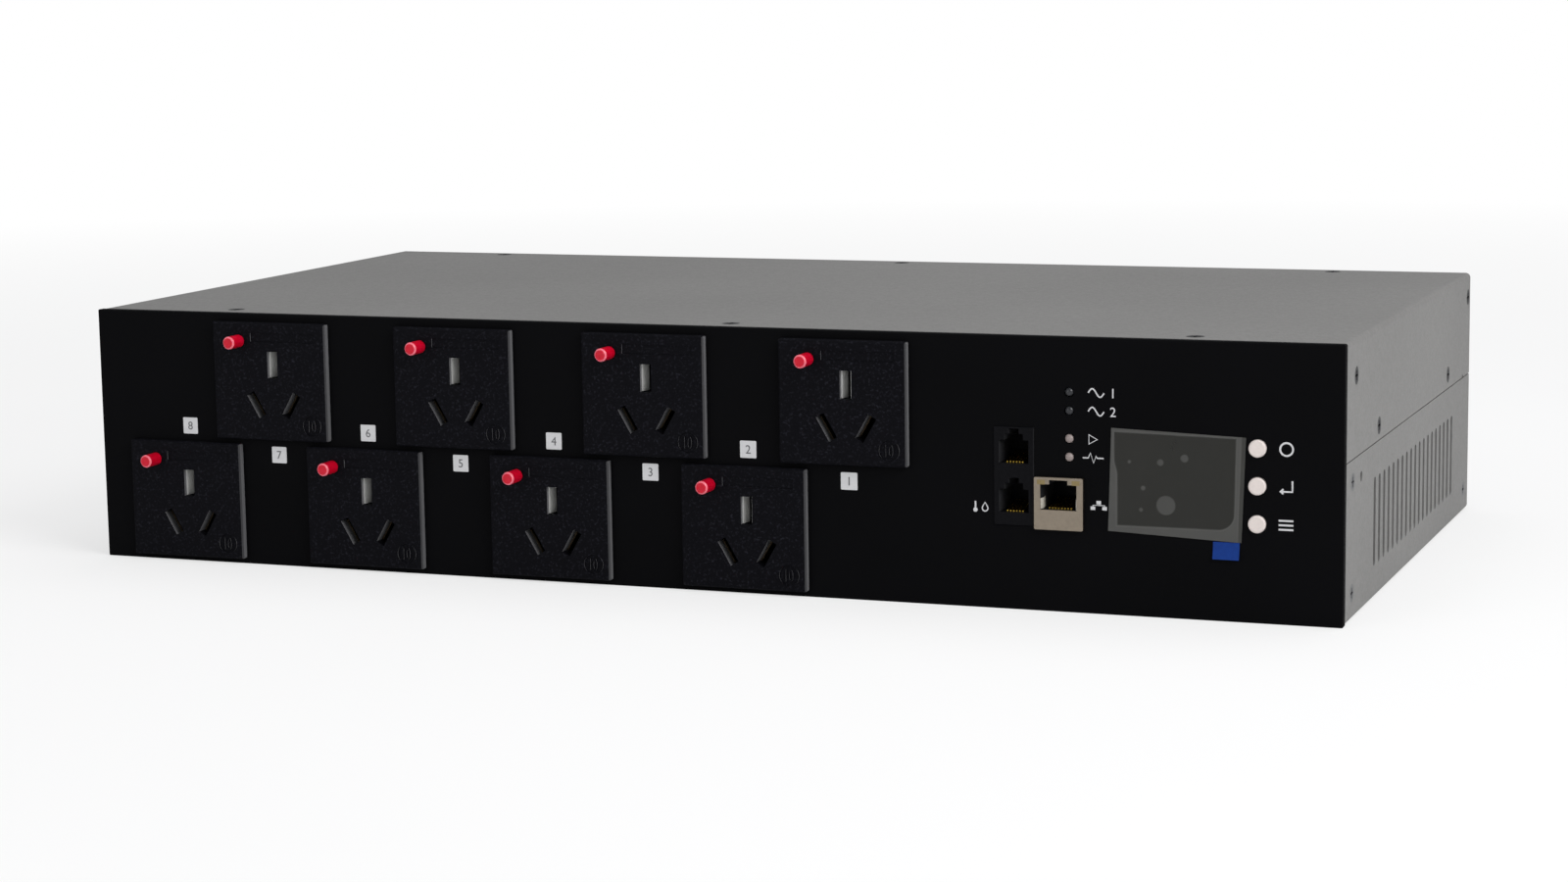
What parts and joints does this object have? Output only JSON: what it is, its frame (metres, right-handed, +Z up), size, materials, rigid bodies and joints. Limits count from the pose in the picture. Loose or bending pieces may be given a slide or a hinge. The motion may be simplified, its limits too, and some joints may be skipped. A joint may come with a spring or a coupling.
{
  "type": "rack static transfer switch",
  "caption": "Low wide rack case whose black front carries staggered three-pin outlets with red lamps, data jacks, a filmed display and small keys; vented grey sides, mains inlets behind.",
  "frame": {"origin": "centre of the flat underside of the case", "axes": "+X to the right as seen from the front, +Y from the front panel to the rear wall, +Z up"},
  "size_m": [0.442, 0.242, 0.088],
  "materials": {
    "case_paint": "fine textured grey powder coat, satin",
    "panel_paint": "matt black coat on aluminium",
    "zinc_steel": "zinc plated, dull",
    "screw_steel": "grey zinc, dull",
    "outlet_plastic": "moulded black polycarbonate with a fine grain",
    "lamp_red": "clear red moulding, glossy",
    "nickel_contact": "nickel plated bronze, satin",
    "brass_contact": "plain phosphor bronze, satin",
    "copper_bar": "plain copper strip, satin",
    "sticker_paper": "white vinyl label, matt",
    "jack_plastic": "moulded black nylon, satin",
    "jack_shell": "tin plated brass shell, satin",
    "jack_lamp": "pale green light pipe",
    "contact_gold": "gold plated wire, glossy",
    "led_smoked": "unlit smoked lens, glossy",
    "led_milky": "unlit diffused lens, glossy",
    "display_glass": "dark unlit display, glossy",
    "film_clear": "thin protective film with trapped bubbles, glossy",
    "tab_blue": "blue pull tab, satin",
    "key_white": "moulded white cap, satin",
    "switch_plastic": "moulded dark switch body, satin",
    "board_green": "glass epoxy with green solder mask",
    "spacer_brass": "turned brass, satin",
    "sink_aluminium": "extruded aluminium, satin",
    "module_plastic": "filled epoxy moulding, matt",
    "relay_plastic": "moulded blue case, satin",
    "transformer_steel": "varnished laminated core and taped winding",
    "inlet_plastic": "moulded black nylon, satin",
    "pin_nickel": "nickel plated brass, satin"
  },
  "bodies": {
    "root": {"chassis_tray": "case_paint", "top_cover": "case_paint", "front_panel": "panel_paint", "rear_panel": "case_paint", "panel_brackets": "zinc_steel", "top_rail": "zinc_steel", "cover_screws": "screw_steel", "chassis_screws": "screw_steel", "panel_nuts": "zinc_steel", "outlet_1": "outlet_plastic", "outlet_2": "outlet_plastic", "outlet_3": "outlet_plastic", "outlet_4": "outlet_plastic", "outlet_5": "outlet_plastic", "outlet_6": "outlet_plastic", "outlet_7": "outlet_plastic", "outlet_8": "outlet_plastic", "outlet_lamp_1": "lamp_red", "outlet_lamp_2": "lamp_red", "outlet_lamp_3": "lamp_red", "outlet_lamp_4": "lamp_red", "outlet_lamp_5": "lamp_red", "outlet_lamp_6": "lamp_red", "outlet_lamp_7": "lamp_red", "outlet_lamp_8": "lamp_red", "earth_contacts": "nickel_contact", "live_contacts": "brass_contact", "neutral_contacts": "brass_contact", "earth_busbars": "copper_bar", "live_busbars": "copper_bar", "neutral_busbars": "copper_bar", "number_stickers": "sticker_paper", "sensor_jack": "jack_plastic", "network_jack_shell": "jack_shell", "network_jack_insert": "jack_plastic", "network_jack_lamps": "jack_lamp", "jack_contacts": "contact_gold", "source_leds": "led_smoked", "status_leds": "led_milky", "display_module": "display_glass", "screen_film": "film_clear", "film_tab": "tab_blue", "key_switches": "switch_plastic", "key_board": "board_green", "control_board": "board_green", "power_board": "board_green", "board_spacers": "spacer_brass", "heat_sink": "sink_aluminium", "thyristor_modules": "module_plastic", "relays": "relay_plastic", "transformers": "transformer_steel", "source_inlet_a": "inlet_plastic", "source_inlet_b": "inlet_plastic", "inlet_pins": "pin_nickel"},
    "function_key": {"function_button": "key_white", "function_plunger": "switch_plastic"},
    "enter_key": {"enter_button": "key_white", "enter_plunger": "switch_plastic"},
    "back_key": {"back_button": "key_white", "back_plunger": "switch_plastic"}
  },
  "joints": [
    {"name": "function_press", "type": "slide", "parent": "root", "child": "function_key", "axis": [0, 1, 0], "range_m": [0, 0.0005], "stiffness_N_per_m": 1500, "springref_m": -0.0005},
    {"name": "enter_press", "type": "slide", "parent": "root", "child": "enter_key", "axis": [0, 1, 0], "range_m": [0, 0.0005], "stiffness_N_per_m": 1500, "springref_m": -0.0005},
    {"name": "back_press", "type": "slide", "parent": "root", "child": "back_key", "axis": [0, 1, 0], "range_m": [0, 0.0005], "stiffness_N_per_m": 1500, "springref_m": -0.0005}
  ]
}
